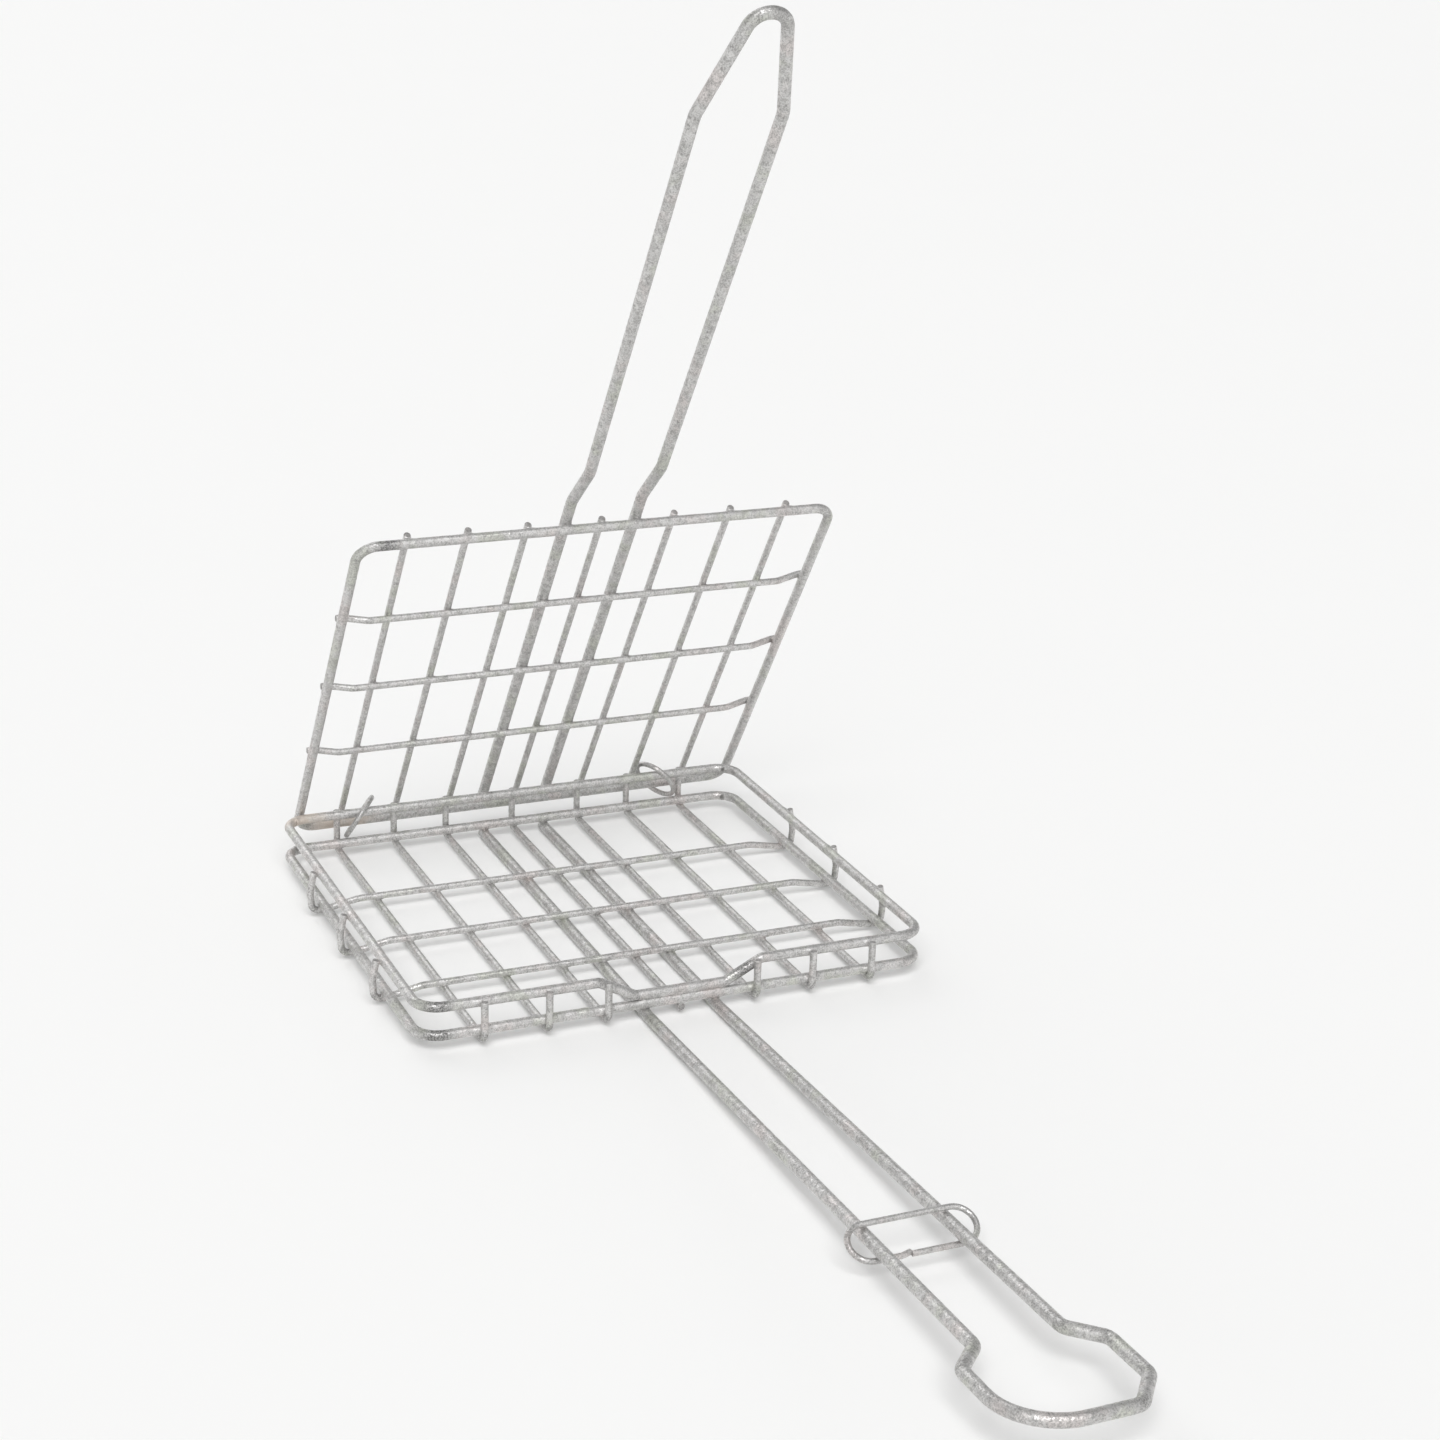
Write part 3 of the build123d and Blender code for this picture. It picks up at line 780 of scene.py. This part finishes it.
class GRILL_OT_basket_frames(bpy.types.Operator):
    """Bottom frame and dipped rim of the basket"""
    bl_idname = "grill.basket_frames"
    bl_label = "Basket frames"

    def execute(self, context):
        at_ = places()
        rubs = {"basket_rim": hinge_rubs(at_["rear"], at_["rear_rim"], np.array((0, 0, 1.0)))}
        corner, front = sizes("basket").corner * CORNER_MIDDLE - at_["side"], at_["front"]
        slope = (sizes("basket").dip_flat + sizes("basket").dip_top) / 4
        middle = (at_["front_rim"] + at_["frame"] + sizes("wire").thick) / 2
        # The dark patches at the front left corners of the rim and the bottom frame are painted dark
        # reflections.
        stains_and_painted_shade = {"basket_rim": [("dark", (corner, front, at_["front_rim"]), CORNER_REFLECTION_REACH),
                                 # The dark patch on the dip's right slope is painted shade.
                                 ("dark", (slope, front, middle), DIP_PATCH),
                                 ("heat", (-0.8 * slope, front, middle - 0.003), DIP_PATCH),
                                 ("tan", (corner, at_["rear"], at_["rear_rim"]), RIM_TAN)],
                  "basket_bottom_frame": [("dark", (corner, front, at_["frame"]), CORNER_REFLECTION_REACH)]}
        place_wires("basket", ("basket_bottom_frame", "basket_rim"), rubs, stains_and_painted_shade)
        return {"FINISHED"}


class GRILL_OT_basket_grid(bpy.types.Operator):
    """Long wires and cross wires of the basket"""
    bl_idname = "grill.basket_grid"
    bl_label = "Basket grid"

    def execute(self, context):
        place_wires("basket", ("basket_long", "basket_cross"))
        return {"FINISHED"}


class GRILL_OT_basket_handle(bpy.types.Operator):
    """Long handle of the basket with its bent grip"""
    bl_idname = "grill.basket_handle"
    bl_label = "Basket handle"

    def execute(self, context):
        place_wires("basket", ("basket_handle",))
        return {"FINISHED"}


class GRILL_OT_lid(bpy.types.Operator):
    """Frame and grid of the lid"""
    bl_idname = "grill.lid"
    bl_label = "Lid"

    def execute(self, context):
        axis, _ = lid_axis()
        rubs = {"lid_frame": hinge_rubs(axis[1], axis[2], np.array((0, 0, -1.0)))}
        left = -places()["lid_side"]
        burnt = axis + np.array((LID_TAN_PLACE + left, 0, 0))
        # The dark patch at the lid's front left corner is a painted dark reflection.
        wear_and_painted_reflection = on_lid([(LID_DARK_REFLECTION_PLACE + left, -sizes("lid").depth, 0)])[0]
        place_wires("lid", ("lid_frame", "lid_long", "lid_cross"), rubs,
                    {"lid_frame": [("tan", burnt, LID_TAN), ("dark", wear_and_painted_reflection, CORNER_REFLECTION_REACH)]})
        return {"FINISHED"}


class GRILL_OT_lid_handle(bpy.types.Operator):
    """Handle of the lid with its crank and tapered tip"""
    bl_idname = "grill.lid_handle"
    bl_label = "Lid handle"

    def execute(self, context):
        place_wires("lid", ("lid_handle",))
        return {"FINISHED"}


class GRILL_OT_hinge_rings(bpy.types.Operator):
    """Two loose rings that hinge the lid"""
    bl_idname = "grill.hinge_rings"
    bl_label = "Hinge rings"

    def execute(self, context):
        for side, name in ((-1, "hinge_ring_left"), (1, "hinge_ring_right")):
            line, diameter, normal, closed, slot = hinge_ring(side)
            middle = line.mean(axis=0)
            quarters = (len(line) // 4, 3 * len(line) // 4)
            rubs = [(line[k], unit(middle - line[k]), RUB_REACH) for k in quarters]
            place_wire(name, name, line, diameter, normal, closed, slot, (), rubs)
        return {"FINISHED"}


class GRILL_OT_lock_ring(bpy.types.Operator):
    """Oblong ring that slides along the handle"""
    bl_idname = "grill.lock_ring"
    bl_label = "Lock ring"

    def execute(self, context):
        line, diameter, normal, closed, slot = lock_ring_wire()
        neck = sizes("handle").neck / 2
        rubs = []
        for x in (-neck, neck):
            for point in line[np.argsort(np.abs(line[:, 0] - x))[:2]]:
                rubs.append((point, unit(line.mean(axis=0) - point), LOCK_RUB_REACH))
        place_wire("lock_ring", "lock_ring", line, diameter, normal, closed, slot, (), rubs)
        return {"FINISHED"}


class GRILL_OT_stage(bpy.types.Operator):
    """Pale floor, soft lights and the camera"""
    bl_idname = "grill.stage"
    bl_label = "Stage"

    def execute(self, context):
        stage = sizes("stage")
        mesh = bpy.data.meshes.new("floor")
        corners = [(x * FLOOR_REACH, y * FLOOR_REACH, 0) for x, y in ((-1, -1), (1, -1), (1, 1), (-1, 1))]
        mesh.from_pydata(corners, [], [(0, 1, 2, 3)])
        n = Nodes(bpy.data.materials.new("floor"))
        cloud = n.noise(0.35, 2).between(0.2, 0.8)
        pale = n.mix(cloud * 0.25, tuple(stage.floor), tuple(c * 0.985 for c in stage.floor))
        mesh.materials.append(n.finish(Base_Color=pale, Roughness=0.85))
        floor = bpy.data.objects.new("floor", mesh)
        context.collection.objects.link(floor)
        n = Nodes(bpy.data.worlds.new("soft_light"), "Background")
        height = n.add("ShaderNodeSeparateXYZ", {}, {0: n.add("ShaderNodeTexCoord")}, 2)
        wall = height.between(WALL_TOP, WALL_FULL)
        strength = stage.sky + wall * (stage.wall - stage.sky)
        context.scene.world = n.finish(Color=(1, 1, 1, 1), Strength=strength)
        for name, towards in LAMPS.items():
            lamp = bpy.data.lights.new(name + "_light", "SUN")
            lamp.energy, lamp.angle = getattr(stage, name), math.radians(LAMP_WIDTH)
            item = bpy.data.objects.new(lamp.name, lamp)
            context.collection.objects.link(item)
            item.matrix_world = Vector(towards).to_track_quat("-Z", "Y").to_matrix().to_4x4()
        turn, tilt, roll = stage.turn, stage.tilt, stage.roll
        ahead = Vector((math.sin(turn) * math.cos(tilt), math.cos(turn) * math.cos(tilt), -math.sin(tilt)))
        level = Vector((math.cos(turn), -math.sin(turn), 0))
        upright = level.cross(ahead)
        right = level * math.cos(roll) + upright * math.sin(roll)
        top = upright * math.cos(roll) - level * math.sin(roll)
        lens = bpy.data.cameras.new("camera")
        lens.lens, lens.sensor_width, lens.clip_start, lens.clip_end = stage.lens, 36, 0.01, 100
        camera = bpy.data.objects.new("camera", lens)
        context.collection.objects.link(camera)
        facing = Matrix((right, top, -ahead)).transposed().to_4x4()
        camera.matrix_world = Matrix.Translation(stage.camera) @ facing
        context.scene.camera = camera
        context.scene.view_settings.view_transform = "Standard"
        return {"FINISHED"}


class GRILL_PT_panel(bpy.types.Panel):
    """Lists the pieces and their sizes"""
    bl_idname = "GRILL_PT_panel"
    bl_label = "Grill grid"
    bl_space_type = "VIEW_3D"
    bl_region_type = "UI"
    bl_category = "Grill grid"

    def draw(self, context):
        for operator in OPERATORS:
            self.layout.operator(operator.bl_idname)
        for name, group in GROUPS.items():
            box = self.layout.box()
            box.label(text=name.capitalize())
            for key in group.__annotations__:
                box.prop(sizes(name), key)


OPERATORS = (GRILL_OT_basket_frames, GRILL_OT_basket_grid, GRILL_OT_basket_handle, GRILL_OT_lid,
             GRILL_OT_lid_handle, GRILL_OT_hinge_rings, GRILL_OT_lock_ring, GRILL_OT_stage)
CLASSES = (*GROUPS.values(), *OPERATORS, GRILL_PT_panel)


def register():
    for cls in CLASSES:
        bpy.utils.register_class(cls)
    for name, group in GROUPS.items():
        setattr(bpy.types.Scene, "grill_" + name, PointerProperty(type=group))


def unregister():
    for name in GROUPS:
        delattr(bpy.types.Scene, "grill_" + name)
    for cls in reversed(CLASSES):
        bpy.utils.unregister_class(cls)


def main():
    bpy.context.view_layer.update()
    register()
    bpy.ops.grill.basket_frames()
    bpy.ops.grill.basket_grid()
    bpy.ops.grill.basket_handle()
    bpy.ops.grill.lid()
    bpy.ops.grill.lid_handle()
    bpy.ops.grill.hinge_rings()
    bpy.ops.grill.lock_ring()
    bpy.ops.grill.stage()
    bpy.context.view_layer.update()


if __name__ == "__main__":
    main()
